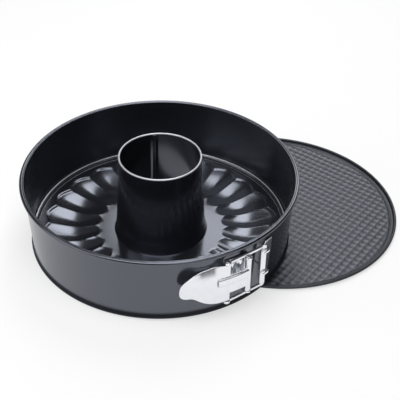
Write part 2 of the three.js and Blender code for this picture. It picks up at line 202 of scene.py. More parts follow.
def in_pan(piece):
    """Radius about the pan's axis and height above its foot of every point of a piece, in millimetres."""
    points = np.empty(3 * len(piece.data.vertices))
    piece.data.vertices.foreach_get("co", points)
    x, y, height = from_row(points.reshape(-1, 3)).T
    return np.hypot(x, y), height


def mark(piece, name, values):
    """Stores one number for each point of a piece, which its finish reads by name."""
    attribute = piece.data.attributes.new(name, "FLOAT", "POINT")
    attribute.data.foreach_set("value", np.asarray(values, np.float32))
    print(piece.name, "is marked", name, "on", int(np.count_nonzero(values > 0.5)), "points")


# %% [markdown]
# The band is one strip of sheet steel, rolled into a ring that is open at the clip. Its foot is folded
# round a wire, a ledge above it holds the base, the wall opens slightly upwards and ends in a rolled rim.
# One closed profile is carried round the axis from one end of the strip to the other. The clip lets the
# ring spring open by about seven millimetres, and the CAD model's two halves follow their own bodies and meet
# at the back. Here one piece stands for both, keeps the back of the ring whole and is put on neither body.

# %% The band
SPLIT_ANGLE = np.radians(-49.8)
SPLIT_GAP = 0.4
BAND_STEPS = 600
BAND_RADIUS = 130.0
WIRE_RADIUS = 126.5
WIRE_SIZE = 2.1
RIM_RADIUS = 132.5
RIM_HEIGHT = 69.6
RIM_SIZE = 1.95
LEDGE_RADIUS = 124.4
INNER_TOP = (129.9, 68.8)
INNER_FOOT = (126.4, 11.3)

outer_wall = rounded([(128.1, 3.5, 0), (127.2, 4.9, 0.7), (127.3, 9.0, 2.0), (130.6, 65.6, 0.8),
                      (131.4, 67.2, 0)])[1:-1]
inner_wall = rounded([(131.6, 71.3, 0), (131.2, 71.0, 0.3), (130.6, 71.3, 0.5), (129.95, 70.9, 0.4),
                      (*INNER_TOP, 0.5), (*INNER_FOOT, 0.9), (LEDGE_RADIUS, 11.2, 0.6),
                      (LEDGE_RADIUS, 2.3, 0)])[1:-1]
band_profile = np.concatenate([
    bead(WIRE_RADIUS, WIRE_SIZE, WIRE_SIZE, -180, 40),
    outer_wall,
    bead(RIM_RADIUS, RIM_HEIGHT, RIM_SIZE, -75, 118),
    inner_wall,
])
half_gap = SPLIT_GAP / 2 / BAND_RADIUS
band_angles = SPLIT_ANGLE + np.linspace(half_gap, 2 * np.pi - half_gap, BAND_STEPS)
band = skin("band_sheet", on_pan(band_profile[:, 0], band_angles[:, None], band_profile[:, 1]), lids=True)
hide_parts("band_left", "band_right")
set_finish(band, "black_coating")
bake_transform(band)

# %% [markdown]
# The inside of the band is a little duller than its outside, and the foot is painted as dark, dull metal: a
# painted shade that stands in for the contact shadow under it. Separate paints would meet in a hard line, so
# two marks fade from one to
# the other: the inside is what lies within half a sheet of the straight inner face, below the rim.

# %% Marks on the band
HALF_SHEET = 0.4
RIM_FOOT = 70.0
FOOT_SHADE_HEIGHTS = (4.8, 8.4)

radius, height = in_pan(band)
inner_slope = (INNER_TOP[0] - INNER_FOOT[0]) / (INNER_TOP[1] - INNER_FOOT[1])
inner_face = INNER_TOP[0] - (INNER_TOP[1] - height) * inner_slope
inside = smooth_step(inner_face + HALF_SHEET - radius, 0, 0.3) * smooth_step(RIM_FOOT - height, 0, 1)
mark(band, "dull", inside)
# The foot's mark is painted shade: below about five millimetres the foot turns to dark, dull metal, which
# stands in for the contact shadow.
mark(band, "painted_foot_shade", 1 - smooth_step(height, *FOOT_SHADE_HEIGHTS))

# %% [markdown]
# The tube base is pressed from one sheet. Twenty-four scoops, pointed at the rim and blunt towards the
# tube, are sunk below its plate and leave ridges between them. They could be modelled one by one and
# repeated, but a height that is a function of radius and angle gives them all at once.

# %% Height of the fluted plate
FLUTES = 24
FLUTE_PHASE = np.radians(-1.8)
FLUTE_OUTER = 114.7
FLUTE_INNER = 61.6
FLUTE_DEPTH = 4.6
RIDGE_OUTER_SHIFT = 5.5
RIDGE_INNER_SHIFT = 6.0
RIDGE_RISE = 0.34
EDGE_RISE = 1.4
EDGE_WIDTH = 2.2
PLATE_HIGH = 7.2
PLATE_LOW = 5.0


def flute_drop(radius, angle):
    """Depth of the scoops: across runs from 0 in the middle of a scoop to 1 on a ridge, where the scoop's
    two ends draw together. Along the scoop the depth is a half sine wave of the share of its length to
    the power 1.2, so that the inner end is steeper, and a ridge keeps two thirds of it. The plate outside
    the scoops stands higher, with a rounded edge."""
    turn = (angle - FLUTE_PHASE) * FLUTES / (2 * np.pi)
    across = np.abs(2 * (turn - np.floor(turn)) - 1)
    outer = FLUTE_OUTER - RIDGE_OUTER_SHIFT * across ** 1.6
    inner = FLUTE_INNER + RIDGE_INNER_SHIFT * across ** 3
    share = np.clip((outer - radius) / (outer - inner), 0, 1)
    edge = EDGE_RISE * smooth_step(radius - outer, 0, EDGE_WIDTH)
    return FLUTE_DEPTH * np.sin(np.pi * share ** 1.2) * (1 - RIDGE_RISE * across ** 1.45) - edge


def plate_height(radius):
    """Height of the plate without its scoops: level outside them, then evenly down to their inner end."""
    share = np.clip((FLUTE_OUTER - radius) / (FLUTE_OUTER - FLUTE_INNER), 0, 1)
    return PLATE_HIGH - (PLATE_HIGH - PLATE_LOW) * share


FLUTE_SAMPLES = 28
flute_angles = FLUTE_PHASE + np.linspace(0, 2 * np.pi, FLUTES * FLUTE_SAMPLES, endpoint=False)[:, None]
plate_radius = np.concatenate([
    [121.4, 119.0, 117.0],
    np.linspace(115.4, 61.0, 52),
    [58.0, 54.0, 50.0, 48.0],
])
top_height = plate_height(plate_radius) - flute_drop(plate_radius, flute_angles)
print("the fluted plate runs from", top_height.min().round(2), "to", top_height.max().round(2), "mm up")

# %% [markdown]
# Round the plate runs a turned-up lip that rests on the band's ledge, and in its middle a collar grips the
# tube. The section goes over the top from the lip to the collar and comes back on the under side one sheet
# thickness lower. The under side is seldom seen, so it keeps only every third ring of points. The crest of
# the lip and the line at its foot are painted almost bare pale steel, as painted highlight lines along the
# lip.

# %% The fluted base
SHEET = 0.8
UNDER_STEP = 3
LIP_INSET = (0.7, 0.8)
LIP_TIP_POINTS = 8
CREST_HEIGHT = 12.1
CREST_RADIUS = (124.0, 125.6)
LIP_FOOT_RADIUS = 122.75
LIP_FOOT_HEIGHT = 8.4
PAINTED_LINE_SHARE = 0.9

lip = rounded([(125.2, 11.5, 0), (125.9, 11.6, 0.3), (125.8, 12.6, 0.6), (124.2, 12.5, 0.9),
               (122.9, 8.7, 0.5), (122.0, 8.7, 0)])
lip_under = lip[::-1][:-LIP_TIP_POINTS] - LIP_INSET
collar = rounded([(47.5, PLATE_LOW, 0), (46.3, PLATE_LOW, 0), (45.4, 7.5, 1.2), (44.15, 15.3, 0),
                  (44.0, 15.2, 0)])
collar_under = rounded([(44.25, 14.4, 0), (44.95, 7.0, 1.0), (45.6, PLATE_LOW - SHEET, 0.6),
                        (47.5, PLATE_LOW - SHEET, 0)])
ring = np.ones_like(flute_angles)
base_radius = np.concatenate([lip[:, 0], plate_radius, collar[:, 0], collar_under[:, 0],
                              plate_radius[::-UNDER_STEP], lip_under[:, 0]]) * ring
base_height = np.hstack([lip[:, 1] * ring, top_height, collar[:, 1] * ring, collar_under[:, 1] * ring,
                         top_height[:, ::-UNDER_STEP] - SHEET, lip_under[:, 1] * ring])
fluted_base = skin("fluted_base_sheet", on_pan(base_radius, flute_angles, base_height), loop_rows=True)

radius, height = in_pan(fluted_base)
on_crest = smooth_step(radius, CREST_RADIUS[0], CREST_RADIUS[0] + 0.4)
on_crest = on_crest * smooth_step(CREST_RADIUS[1] - radius, 0, 0.3)
crest = on_crest * smooth_step(height, CREST_HEIGHT, CREST_HEIGHT + 0.3)
on_line = 1 - smooth_step(np.abs(radius - LIP_FOOT_RADIUS), 0.25, 0.5)
foot_line = on_line * smooth_step(height, LIP_FOOT_HEIGHT, LIP_FOOT_HEIGHT + 0.2)
# The lip's crest and foot line are painted pale steel: painted highlight lines.
mark(fluted_base, "bare_metal_and_highlight", PAINTED_LINE_SHARE * np.maximum(crest, foot_line))
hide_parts("fluted_base")
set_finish(fluted_base, "black_coating")
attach(fluted_base, "tube_base")

# %% [markdown]
# The centre tube is a strip rolled to a slightly conical tube. Its long edges hook into each other in a
# lock seam on the inside, and its top edge is curled over, where the coating has worn to bare steel. The
# profile is turned about the axis. The seam pushes the inside in by half a millimetre, which is simpler
# than folding a real seam and looks the same from above.

# %% The centre tube
TUBE_FOOT = 4.2
TUBE_NECK = 88.4
TUBE_FOOT_RADIUS = 44.6
TUBE_RADIUS = 39.45
TUBE_SHEET = 0.7
TUBE_RINGS = 14
TUBE_STEPS = 288
CURL_RADIUS = 39.1
CURL_HEIGHT = 89.9
CURL_SIZE = 0.95
CURL_WEAR = (CURL_HEIGHT - 0.6, CURL_HEIGHT + 0.2)
SEAM_ANGLE = np.radians(98)
SEAM_HALF_WIDTH = 2.6
SEAM_FOLD = 0.5
SEAM_DEPTH = 0.5

tube_side = np.linspace((TUBE_FOOT_RADIUS, TUBE_FOOT), (TUBE_RADIUS, TUBE_NECK), TUBE_RINGS)
tube_profile = np.concatenate([
    tube_side,
    bead(CURL_RADIUS, CURL_HEIGHT, CURL_SIZE, -65, 245),
    tube_side[::-1] - (TUBE_SHEET, 0),
])
tube_angles = np.linspace(0, 2 * np.pi, TUBE_STEPS, endpoint=False)[:, None]
from_seam = np.abs(tube_angles - SEAM_ANGLE) * TUBE_RADIUS
seam = 1 - smooth_step(from_seam, SEAM_HALF_WIDTH - SEAM_FOLD, SEAM_HALF_WIDTH + SEAM_FOLD)
on_inside = np.arange(len(tube_profile)) >= len(tube_profile) - TUBE_RINGS
tube_radius = tube_profile[:, 0] - SEAM_DEPTH * seam * on_inside
tube = skin("centre_tube_sheet", on_pan(tube_radius, tube_angles, tube_profile[:, 1]), loop_rows=True)
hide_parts("centre_tube")
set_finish(tube, "black_coating")
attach(tube, "tube_base")
radius, height = in_pan(tube)
mark(tube, "bare_metal_and_highlight", smooth_step(height, *CURL_WEAR))

# %% [markdown]
# The flat base is a pressed disc. Its floor is rolled with a waffle of small pillows in two crossing
# diagonal rows, a little over seven millimetres apart, so that a cake lets go. A bump in the finish would
# look flat from the side, so the waffle is real: a square grid is drawn out to a disc, and its height is
# the sum of two cosine waves. A mark keeps how high each point lies on its pillow, and the paint uses it for
# a painted sheen on the pillows.

# %% The waffled floor
DISC_CENTRE = np.array([60.5931, 24.5005, 0.0])
FLOOR_RADIUS = 124.4
FLOOR_GRID = 200
FLOOR_SHEET = 0.35
WAFFLE_WAVES = np.array([[-0.1094, 0.0846], [0.0862, 0.1055]])
WAFFLE_RELIEF = 0.5
WAFFLE_FADE = (2.5, 0.8)


def waffle(across, along):
    """Height field on a disc: the square (across, along) is drawn out to a disc by scaling each side with
    the root of one less half the other's square; the height is two crossing cosine waves that fade to
    the edge. Gives the points and how high each lies on its pillow, from 0 to 1."""
    x = FLOOR_RADIUS * across * np.sqrt(1 - along ** 2 / 2)
    y = FLOOR_RADIUS * along * np.sqrt(1 - across ** 2 / 2)
    waves = sum(np.cos(2 * np.pi * (wave[0] * x + wave[1] * y)) for wave in WAFFLE_WAVES)
    fade = smooth_step(FLOOR_RADIUS - np.hypot(x, y), WAFFLE_FADE[1], WAFFLE_FADE[0])
    return np.stack([x, y, SHEET + WAFFLE_RELIEF / 2 * waves * fade], axis=-1), (0.5 + waves / 4) * fade


def sheet_grid(name, grid, thickness):
    """Open square grid of points as a sheet: a Solidify modifier gives it its thickness downwards."""
    rows, columns = grid.shape[:2]
    index = np.arange(rows * columns).reshape(rows, columns)
    corners = [index[:-1, :-1], index[1:, :-1], index[1:, 1:], index[:-1, 1:]]
    mesh = bpy.data.meshes.new(name)
    mesh.from_pydata(grid.reshape(-1, 3).tolist(), [], np.stack(corners, axis=-1).reshape(-1, 4).tolist())
    mesh.polygons.foreach_set("use_smooth", np.ones(len(mesh.polygons), bool))
    piece = placed(name, mesh)
    solid = piece.modifiers.new("thickness", "SOLIDIFY")
    solid.thickness = thickness
    solid.offset = -1
    return piece


steps = np.linspace(-1, 1, FLOOR_GRID)
floor_grid, pillow_sheen_share = waffle(*np.meshgrid(steps, steps, indexing="ij"))
disc_floor = sheet_grid("flat_base_floor", (DISC_CENTRE + floor_grid) * MM, FLOOR_SHEET * MM)
# How high a point lies on its pillow is stored for the painted sheen: the grey paint makes the pillow tops
# paler.
mark(disc_floor, "pillow_sheen", pillow_sheen_share.ravel())

# %% [markdown]
# Round the floor runs a low flange with a steep wall up to a rolled edge, which keeps the thin disc stiff.
# It is a second profile, turned about the disc's own axis, because a fine grid is only needed for the
# waffle.

# %% The flat base's edge
EDGE_BEAD_RADIUS = 129.4
EDGE_BEAD_HEIGHT = 3.0
EDGE_BEAD_SIZE = 1.4
EDGE_STEPS = 480

edge_profile = np.concatenate([
    rounded([(123.7, 0.1, 0), (125.2, 0.0, 0.4), (126.0, 0.5, 0.4), (128.6, 0.5, 0.8), (129.2, 1.6, 0)]),
    bead(EDGE_BEAD_RADIUS, EDGE_BEAD_HEIGHT, EDGE_BEAD_SIZE, -100, 165, 28),
    rounded([(128.0, 3.2, 0), (127.8, 1.35, 0.4), (125.9, 1.25, 0.4), (125.0, 0.75, 0.3), (123.7, 0.7, 0)]),
])
edge_angles = np.linspace(0, 2 * np.pi, EDGE_STEPS, endpoint=False)[:, None]
edge_x = edge_profile[:, 0] * np.cos(edge_angles)
edge_y = edge_profile[:, 0] * np.sin(edge_angles)
edge_height = edge_profile[:, 1] * np.ones_like(edge_angles)
edge_grid = np.stack([edge_x, edge_y, edge_height], axis=-1)
disc_rim = skin("flat_base_rim", (DISC_CENTRE + edge_grid) * MM, loop_rows=True)
for piece in (disc_floor, disc_rim):
    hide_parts("flat_base")
    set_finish(piece, "grey_coating")
    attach(piece, "flat_base")

# %% [markdown]
# The clip is stamped from tin-plated sheet. Its places are given along the wall from the lever's pivot,
# up from the clip's middle, and out from the circle on which the three pivots stand. The frame gives the
# lever's hinge, so the dressed clip turns about the very axis of the CAD model.

# %% Places on the clip
CLIP_MIDDLE = 38.6


def pivot(joint):
    """Radius and angle about the pan's axis of one of the clip's hinges."""
    x, y, height = from_row(np.array(joints[joint]["pos_m"]))
    return np.hypot(x, y), np.arctan2(y, x)


PIVOT_RADIUS, LEVER_ANGLE = pivot("lever_swing")


def on_clip(along, up, out):
    """Row-frame metres of a clip place: along the pivot circle, up from the clip's middle, and out."""
    return on_pan(PIVOT_RADIUS + out, LEVER_ANGLE + along / PIVOT_RADIUS, CLIP_MIDDLE + up)


print("clip pivots stand", round(float(PIVOT_RADIUS), 3), "mm from the axis")

# %% [markdown]
# A stamped plate has an outline, a shaped face and edges that the punch has rounded. An outline could be
# filled and bevelled, but then the face would have no points to shape. So rings of points shrink from the
# outline to a centre on both faces, the outer face follows a height function, and the last rings go round
# the edge. Pins, barrels and eyes are profiles turned about an upright axis.

# %% Stamped plates and turned rods
CLIP_SHEET = 1.2
PUNCH_ROUND = 0.35
PUNCH_TURN = np.radians([30, 60, 90])


def resampled(outline, count):
    """The closed outline as count points: its own length divided evenly."""
    closed = np.vstack([outline, outline[:1]])
    length = np.concatenate([[0], np.cumsum(np.linalg.norm(np.diff(closed, axis=0), axis=1))])
    places = np.linspace(0, length[-1], count, endpoint=False)
    return np.stack([np.interp(places, length, closed[:, side]) for side in (0, 1)], axis=-1)


def plate(name, outline, centre, face, count=420, rings=26):
    """Stamped plate: rings of the outline, shrunk towards centre, lie on the outer face and in turn on the
    inner face one sheet lower; the last rings of each face follow a quarter circle round the edge."""
    outline = resampled(np.array(outline, float), count)
    size = np.linalg.norm(outline - centre, axis=1).mean()
    flat = np.linspace(0, 1 - PUNCH_ROUND / size, rings)
    share = np.concatenate([flat, 1 - PUNCH_ROUND / size * (1 - np.sin(PUNCH_TURN))])
    sink = np.concatenate([np.zeros(rings), PUNCH_ROUND * (1 - np.cos(PUNCH_TURN))])
    share = np.concatenate([share, share[::-1]])[:, None]
    sink = np.concatenate([sink, CLIP_SHEET - sink[::-1]])[:, None]
    along = centre[0] + share * (outline[:, 0] - centre[0])
    up = centre[1] + share * (outline[:, 1] - centre[1])
    return skin(name, on_clip(along, up, face(along, up) - sink))


def turned_rod(name, along, profile, count=40):
    """Rod on an upright axis through a pivot: profile (radius, up) turned about that axis."""
    turn = np.linspace(0, 2 * np.pi, count, endpoint=False)[:, None]
    axis_angle = LEVER_ANGLE + along / PIVOT_RADIUS
    x = PIVOT_RADIUS * np.cos(axis_angle) + profile[:, 0] * np.cos(turn)
    y = PIVOT_RADIUS * np.sin(axis_angle) + profile[:, 0] * np.sin(turn)
    grid = on_pan(np.hypot(x, y), np.arctan2(y, x), CLIP_MIDDLE + profile[:, 1])
    return skin(name, np.swapaxes(grid, 0, 1))


def sleeve(bore, radius, low, high, size):
    """Closed profile of a short tube for turned_rod: from bore to radius, from low to high, with the two
    outer corners rounded by the given size."""
    return rounded([(bore, low, 0), (radius, low, size), (radius, high, size), (bore, high, 0),
                    (bore, low, 0)])[:-1]


def clip_piece(piece, node, body):
    """Hides the CAD node that a piece of the clip stands for, gives the piece its finish and puts it on its
    body.
    """
    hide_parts(node)
    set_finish(piece, "plated_steel")
    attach(piece, body)


# %% [markdown]
# The lever is a spoon with a belly on its lower edge and a narrow end to pull on, and a neck carries it to
# its pivot. Its outline is drawn with cubic curves. The face is flat, so it mirrors the pale table, but
# its upper edge is bent in towards the pan behind the neck, and that soft patch mirrors the dimmer room.

# %% The lever's spoon
NECK_TOP = 9.4
NECK_FOOT = -11.7
SHOULDER = -20.0
STEM = -25.1
SPOON_TOP = 20.8
BELLY = -20.3
TIP = -66.8
PULL_END = -58.5
PULL_EDGE = -7.6
LEVER_OUT = 1.9
TIP_LIFT = 0.7
BEND_START = 6.0
BEND_SLOPE = 0.44
BEND_ROUND = 4.0


def bezier(start, first, second, end, count=40):
    """Cubic curve through start and end that is pulled towards first and second."""
    t = np.linspace(0, 1, count)[:, None]
    start, first, second, end = (np.array(place, float) for place in (start, first, second, end))
    return (1 - t) ** 3 * start + 3 * t * (1 - t) ** 2 * first + 3 * t ** 2 * (1 - t) * second + t ** 3 * end


def lever_face(along, up):
    """Outer face of the lever: level, with a slight lift at the tip; behind the neck its upper edge bends
    in towards the pan as a hyperbola, level below the bend's start and of an even slope well above it."""
    past = np.clip(up - BEND_START, 0, None)
    bend = BEND_SLOPE * (np.sqrt(past ** 2 + BEND_ROUND ** 2) - BEND_ROUND)
    where = smooth_step(-along, 22, 36) * (1 - smooth_step(-along, 46, 64))
    return LEVER_OUT - bend * where + TIP_LIFT * smooth_step(-along, 46, 78)


lever_outline = np.concatenate([
    [(0.0, NECK_FOOT), (0.0, NECK_TOP), (SHOULDER, NECK_TOP), (SHOULDER, SPOON_TOP)],
    bezier((STEM, SPOON_TOP), (-48.0, 17.6), (TIP, 18.0), (TIP, 0.0)),
    bezier((TIP, 0.0), (TIP, -5.3), (-64.0, PULL_EDGE), (PULL_END, PULL_EDGE))[1:],
    bezier((PULL_END, PULL_EDGE), (-50.0, PULL_EDGE), (-48.0, BELLY), (STEM, BELLY))[1:],
    [(SHOULDER, BELLY), (SHOULDER, NECK_FOOT)],
])
lever_middle = np.array([-40.0, 0.0])
lever_plate = plate("lever_spoon", lever_outline, lever_middle, lever_face, count=640)
clip_piece(lever_plate, "latch_lever", "lever")

# %% [markdown]
# A half-round rib, hollow behind and open at its end, stiffens the neck, and the neck's edge is curled to
# a barrel round the lever's pin. On the real lever both are part of the sheet. Here they are pieces of
# their own that sink into it, because the rings of the spoon are too coarse to hold so small a form.

# %% The lever's rib and barrel
RIB_START = -32.0
RIB_END = -1.0
RIB_MIDDLE = 3.5
RIB_OUTER = (4.8, 2.1)
RIB_INNER = (4.1, 1.4)
RIB_SINK = (0.1, 0.3)
SLEEVE_BORE = 1.8
BARREL_RADIUS = 3.0
BARREL_HALF = 18.6

rib_along = np.linspace(RIB_START, RIB_END, 24)[:, None]
half_turn = np.linspace(-np.pi / 2, np.pi / 2, 22)
rib_up = np.concatenate([RIB_OUTER[0] * np.sin(half_turn), RIB_INNER[0] * np.sin(half_turn[::-1])])
rib_rise = np.concatenate([RIB_OUTER[1] * np.cos(half_turn) - RIB_SINK[0],
                           RIB_INNER[1] * np.cos(half_turn[::-1]) - RIB_SINK[1]])
rib_base = lever_face(rib_along, RIB_MIDDLE)
rib = skin("lever_rib", on_clip(rib_along, RIB_MIDDLE + rib_up, rib_base + rib_rise), lids=True)
clip_piece(rib, "latch_lever", "lever")

barrel_profile = sleeve(SLEEVE_BORE, BARREL_RADIUS, -BARREL_HALF, BARREL_HALF, 0.4)
barrel = turned_rod("lever_barrel", 0.0, barrel_profile)
clip_piece(barrel, "latch_lever", "lever")

# %% [markdown]
# The link, the lugs and the hooks are strips with rounded edges. A curve with a bevel would make such a
# strip with one width all along, but here some grow broader or draw in. So a section is worked out once,
# and each piece carries it along its own path.

# %% Sections along a path
def section(half_width, half_depth, width_power, depth_power, count):
    """Rounded rectangle: the cosine and sine of a full turn, each raised to a power below one without its
    sign, which squares the circle, and scaled to the two half sizes."""
    turn = np.linspace(0, 2 * np.pi, count, endpoint=False)
    width = half_width * np.sign(np.cos(turn)) * np.abs(np.cos(turn)) ** width_power
    depth = half_depth * np.sign(np.sin(turn)) * np.abs(np.sin(turn)) ** depth_power
    return width, depth


def left_of(path):
    """Unit direction to the left of a plane path at each of its points: its step, turned by a quarter."""
    step = np.gradient(path, axis=0)
    step = step / np.linalg.norm(step, axis=1, keepdims=True)
    return np.stack([-step[:, 1], step[:, 0]], axis=-1)


print("a section of 8 points:", np.round(section(1.0, 0.5, 0.55, 0.55, 8), 2).T.tolist())

# %% [markdown]
# The link is a bent frame of flat wire. Two curled eyes turn on the link pin behind the lever, two arms
# run along the wall, and the far bar, which is broader than the arms, lies in the catch. The section is
# carried along the bent path in the plane of the frame, with a width for each place.

# %% The link
LINK_PIVOT = (pivot("link_swing")[1] - LEVER_ANGLE) * PIVOT_RADIUS
CATCH_BAR = 18.4
ARM_HEIGHT = 22.4
ARM_WIDTH = 2.8
BAR_EXTRA = 3.4
LINK_DEPTH = 2.4
LINK_BEND = 2.6
EYE_RADIUS = 3.1
EYE_SPAN = (21.3, 23.5)

link_start = on_clip(LINK_PIVOT, 0.0, 0.0)
link_run = on_clip(CATCH_BAR, 0.0, 0.0) - link_start
link_length = np.linalg.norm(link_run) / MM
link_forward = link_run / np.linalg.norm(link_run)
link_outward = np.cross(link_forward, pan_axis)


def swept_strip(name, path, widths, depth, corner):
    """Flat wire along a path (forward, up) in the link's plane: at each place a rounded rectangle, as wide
    as given across the path and as deep as given out of the plane."""
    across, out = section(0.5, depth / 2, corner, corner, 28)
    places = path[:, None] + left_of(path)[:, None] * (widths[:, None] * across)[..., None]
    in_plane = places[..., :1] * link_forward + places[..., 1:] * pan_axis
    return skin(name, link_start + MM * (in_plane + out[None, :, None] * link_outward), lids=True)


link_bends = rounded([(0.0, ARM_HEIGHT, 0), (link_length, ARM_HEIGHT, LINK_BEND),
                      (link_length, -ARM_HEIGHT, LINK_BEND), (0.0, -ARM_HEIGHT, 0)], steps=12)
link_sides = zip(link_bends[:-1], link_bends[1:])
link_runs = [np.linspace(start, end, 8, endpoint=False) for start, end in link_sides]
link_path = np.concatenate(link_runs + [link_bends[-1:]])
on_far_bar = smooth_step(link_path[:, 0], link_length - 2.4, link_length - 0.2)
link_wire = swept_strip("link_wire", link_path, ARM_WIDTH + BAR_EXTRA * on_far_bar, LINK_DEPTH, corner=0.55)
clip_piece(link_wire, "link_frame", "link")

for side, name in ((1, "upper"), (-1, "lower")):
    low, high = sorted(side * end for end in EYE_SPAN)
    eye = turned_rod("link_eye_" + name, LINK_PIVOT, sleeve(SLEEVE_BORE, EYE_RADIUS, low, high, 0.5))
    clip_piece(eye, "link_frame", "link")

# %% [markdown]
# Two brackets are welded to the ends of the band. The first carries the lever's pin between two folded
# lugs, and two upright ribs are pressed into it, which show above the lever's neck. It starts as a plate
# that follows the wall. Each lug is a tongue: a rounded section carried straight out from the plate and
# drawn in to a half-round end.

# %% The lever's bracket
WALL_RADIUS = 127.2
WALL_HEIGHT = 11.2
WALL_SLOPE = 0.06175
PLATE_LIFT = 1.5
PLATE_SINK = 0.6
BRACKET_HALF = 21.5
PRESSED_PITCH = 9.0
PRESSED_MIDDLE = -15.0
PRESSED_RISE = 1.0
LUG_UP = 19.5
LUG_HALF_WIDTH = 3.4
LUG_REACH = 3.6


def wall_out(up):
    """Outer face of a plate that lies on the wall, measured out from the pivot circle."""
    return WALL_RADIUS + (CLIP_MIDDLE + up - WALL_HEIGHT) * WALL_SLOPE + PLATE_LIFT - PIVOT_RADIUS


def bracket_face(along, up):
    """Outer face of the lever's bracket: on the wall, with two upright ribs pressed into it, which are the
    crests of a cosine wave that fades to the bracket's edges."""
    crest = np.cos(2 * np.pi * (along - PRESSED_MIDDLE) / PRESSED_PITCH)
    fade = smooth_step(-along, 3, 6) * smooth_step(22 + along, 0, 3) * smooth_step(20 - np.abs(up), 0, 3)
    return wall_out(up) + PRESSED_RISE * (1 + crest) * fade


def tongue(name, along, up, half_width, reach):
    """Tongue folded out from the wall: a level rounded strip, half_width to both sides of along and one
    sheet high, that runs from the plate out to reach with a half-round end."""
    side, rise = section(half_width, CLIP_SHEET / 2, 0.4, 0.6, 24)
    straight = np.linspace(wall_out(up) - PLATE_SINK, reach - half_width, 10)
    end = reach - half_width + half_width * np.sin(np.linspace(0.1, np.pi / 2, 10))
    out = np.concatenate([straight, end])[:, None]
    past = np.clip((out - (reach - half_width)) / half_width, 0, 1)
    narrow = np.sqrt(np.clip(1 - past ** 2, 0.02, 1))
    return skin(name, on_clip(along + side * narrow, up + rise, out), lids=True)


bracket_outline = [(2.6, -BRACKET_HALF), (2.6, BRACKET_HALF), (-22.1, BRACKET_HALF), (-22.1, -10.0),
                   (-4.0, -10.0), (-4.0, -BRACKET_HALF)]
lever_bracket = plate("lever_bracket_plate", bracket_outline, np.array([-1.5, 0.0]), bracket_face)
clip_piece(lever_bracket, "lever_bracket", "ring_left")
for side, name in ((1, "upper"), (-1, "lower")):
    lug = tongue("lever_lug_" + name, 0.0, side * LUG_UP, LUG_HALF_WIDTH, LUG_REACH)
    clip_piece(lug, "lever_bracket", "ring_left")

# %% [markdown]
# The second bracket is the catch, whose two hooks hold the link's far bar. A hook is a strip that leaves
# the plate, passes round the bar and turns back, so it is a section carried along a bent path.

# %% The catch
CATCH_ALONG = (24.2, 35.7)
CATCH_CORNER = 3.0
HOOK_OUT = 3.2
HOOK_BEND = 1.4
HOOK_HALF_HEIGHT = 1.2
HOOK_SHEET = 1.0
HOOKS_UP = (("upper", 17.0), ("lower", -8.0))


def rounded_box(low_along, high_along, low_up, high_up, size):
    """Outline of a plate: a rectangle with its four corners rounded by the given size."""
    middle = (low_up + high_up) / 2
    return rounded([(high_along, middle, 0), (high_along, high_up, size), (low_along, high_up, size),
                    (low_along, low_up, size), (high_along, low_up, size), (high_along, middle - 0.01, 0)], 8)


def hook(name, up):
    """Hook of the catch: a rounded strip that leaves the plate, passes round the far bar and turns back."""
    root = wall_out(up) - PLATE_SINK
    path = rounded([(25.4, root, 0), (24.4, root + 1.0, 0.8), (23.2, HOOK_OUT, HOOK_BEND),
                    (15.4, HOOK_OUT, HOOK_BEND), (14.4, 1.4, 0)], steps=8)
    across, rise = section(HOOK_SHEET / 2, HOOK_HALF_HEIGHT, 0.6, 0.5, 24)
    normal = left_of(path)
    along = path[:, :1] + normal[:, :1] * across
    out = path[:, 1:] + normal[:, 1:] * across
    return skin(name, on_clip(along, up + rise, out), lids=True)


catch_outline = rounded_box(*CATCH_ALONG, -BRACKET_HALF, BRACKET_HALF, CATCH_CORNER)
catch_plate = plate("catch_plate", catch_outline, np.array([30.0, 0.0]), lambda along, up: wall_out(up))
clip_piece(catch_plate, "catch_bracket", "ring_right")
for name, up in HOOKS_UP:
    clip_piece(hook("catch_hook_" + name, up), "catch_bracket", "ring_right")

# %% [markdown]
# Two pins hold the clip together: one in the lugs, on which the lever turns, and one in the lever, on which
# the link turns. Their ends are riveted to flat heads. A cylinder for each part would leave seams, so a pin
# is one profile, turned like the barrel.

# %% The pins
PIN_RADIUS = 1.5
HEAD_RADIUS = 2.1
HEAD_HEIGHT = 0.6
LEVER_PIN_HALF = 20.4
LINK_PIN_HALF = 23.8


def riveted_pin(half):
    """Profile of a pin for turned_rod: a shaft from -half to half with a flat head beyond each end."""
    end = half + HEAD_HEIGHT
    return rounded([(0.0, -end, 0), (HEAD_RADIUS, -end, 0.4), (HEAD_RADIUS, -half, 0.2),
                    (PIN_RADIUS, -half, 0), (PIN_RADIUS, half, 0), (HEAD_RADIUS, half, 0.2),
                    (HEAD_RADIUS, end, 0.4), (0.0, end, 0)])


lever_pin = turned_rod("lever_pin_rod", 0.0, riveted_pin(LEVER_PIN_HALF), count=28)
clip_piece(lever_pin, "lever_pin", "ring_left")
link_pin = turned_rod("link_pin_rod", LINK_PIVOT, riveted_pin(LINK_PIN_HALF), count=28)
clip_piece(link_pin, "link_pin", "lever")

# %% [markdown]
# Finishes are worked out from each piece's own object coordinates and marks. One small class stands for a
# shader value: arithmetic on it adds the nodes that do the sum, and one method adds any other node. A
# finish then reads like a formula, and no node has to be placed by hand.

